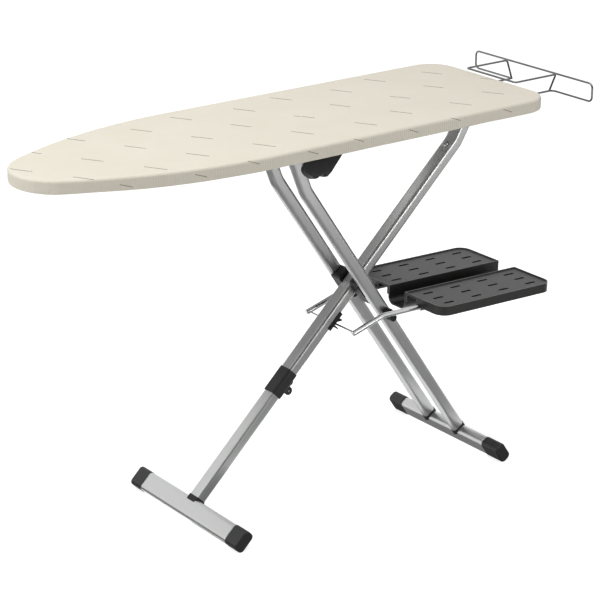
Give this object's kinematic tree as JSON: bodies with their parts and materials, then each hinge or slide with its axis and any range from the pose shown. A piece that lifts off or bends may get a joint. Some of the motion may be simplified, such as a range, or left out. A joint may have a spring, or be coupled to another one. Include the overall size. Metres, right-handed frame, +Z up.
{
  "type": "ironing_board",
  "caption": "Folding ironing board with a padded cotton top, crossed silver legs, a dark two-wing tray and a chrome wire iron rest",
  "frame": {"origin": "On the floor, below the middle of the overall length with the iron rest pulled out", "axes": "+X to the square rear end with the iron rest, -X to the nose, -Y to the side with the height lever, +Z up"},
  "size_m": [1.498, 0.449, 0.948],
  "materials": {
    "cover_cotton": "woven cream cotton",
    "pad_foam": "foam and felt pad",
    "painted_steel": "grey powder paint",
    "silver_tube": "satin silver paint",
    "zinc_steel": "zinc plated",
    "black_plastic": "moulded, fine grain",
    "tray_plastic": "moulded, fine grain",
    "nylon": "moulded nylon",
    "black_rubber": "soft moulded ring",
    "chrome_wire": "bright chrome plated wire"
  },
  "bodies": {
    "board": {"cover": "cover_cotton", "pad": "pad_foam", "deck": "painted_steel", "guide_rail_far": "painted_steel", "guide_rail_near": "painted_steel", "rail_hangers": "painted_steel", "hinge_bracket": "painted_steel", "hinge_pin": "zinc_steel", "rest_sockets": "black_plastic", "lever_brackets": "painted_steel"},
    "front_leg": {"front_leg_tube": "silver_tube", "hinge_bush": "nylon", "dome_stud": "zinc_steel", "collar": "black_plastic", "trigger_pin": "zinc_steel", "rod_fork": "black_plastic"},
    "lower_leg": {"inner_leg_tube": "silver_tube", "guide_plug": "black_plastic", "foot_gasket": "black_rubber", "front_foot": "silver_tube", "front_cap_far": "black_plastic", "front_cap_near": "black_plastic"},
    "trigger": {"leg_trigger": "black_plastic", "lock_pin": "zinc_steel"},
    "rear_leg": {"rear_leg_tube_far": "silver_tube", "rear_leg_tube_near": "silver_tube", "slide_axle": "zinc_steel", "slide_bushes": "nylon", "cross_saddle_far": "black_plastic", "cross_saddle_near": "black_plastic", "cross_pin": "zinc_steel", "tray_bracket_far": "black_plastic", "tray_bracket_near": "black_plastic", "tray_pivot_pins": "zinc_steel", "rear_foot": "silver_tube", "foot_rings": "black_rubber", "rear_cap_far": "black_plastic", "leveller_socket": "black_plastic"},
    "leveller": {"leveller_shoe": "black_plastic", "leveller_spindle": "zinc_steel"},
    "tray": {"tray_moulding": "tray_plastic", "tray_arm_far": "chrome_wire", "tray_arm_near": "chrome_wire", "tray_rod": "chrome_wire"},
    "height_lever": {"lever_handle": "black_plastic", "lever_shaft": "zinc_steel", "latch_arm": "zinc_steel"},
    "iron_rest": {"rest_loop": "chrome_wire", "rest_cradle": "chrome_wire"}
  },
  "joints": [
    {"name": "leg_fold", "type": "hinge", "parent": "board", "child": "front_leg", "pos_m": [0.54191, 0, 0.886], "axis": [0, 1, 0], "range_deg": [0, 43.8]},
    {"name": "leg_cross", "type": "hinge", "parent": "front_leg", "child": "rear_leg", "pos_m": [0.174, 0, 0.4955], "axis": [0, -1, 0], "range_deg": [0, 99.7]},
    {"name": "tray_fold", "type": "hinge", "parent": "rear_leg", "child": "tray", "pos_m": [0.228, 0, 0.427], "axis": [0, 1, 0], "range_deg": [0, 54.06]},
    {"name": "leg_extend", "type": "slide", "parent": "front_leg", "child": "lower_leg", "axis": [0.7218, 0, 0.6921], "range_m": [0, 0.15]},
    {"name": "leg_trigger", "type": "hinge", "parent": "front_leg", "child": "trigger", "pos_m": [-0.03167, 0, 0.25996], "axis": [0, 1, 0], "range_deg": [0, 10], "stiffness_Nm_per_rad": 1, "springref_deg": -5.73},
    {"name": "height_lever", "type": "hinge", "parent": "board", "child": "height_lever", "pos_m": [-0.0035, -0.124, 0.8915], "axis": [-1, 0, 0], "range_deg": [0, 22], "stiffness_Nm_per_rad": 2, "springref_deg": -8.59},
    {"name": "iron_rest_slide", "type": "slide", "parent": "board", "child": "iron_rest", "axis": [1, 0, 0], "range_m": [-0.115, 0]},
    {"name": "leveller_turn", "type": "hinge", "parent": "rear_leg", "child": "leveller", "pos_m": [0.49212, -0.205, 0.02564], "axis": [0, -1, 0], "range_deg": [0, 25]}
  ],
  "couplings": [
    {"joint": "leg_cross", "follows": "leg_fold", "ratio": 2.2763},
    {"joint": "tray_fold", "follows": "leg_fold", "ratio": 1.2342}
  ]
}
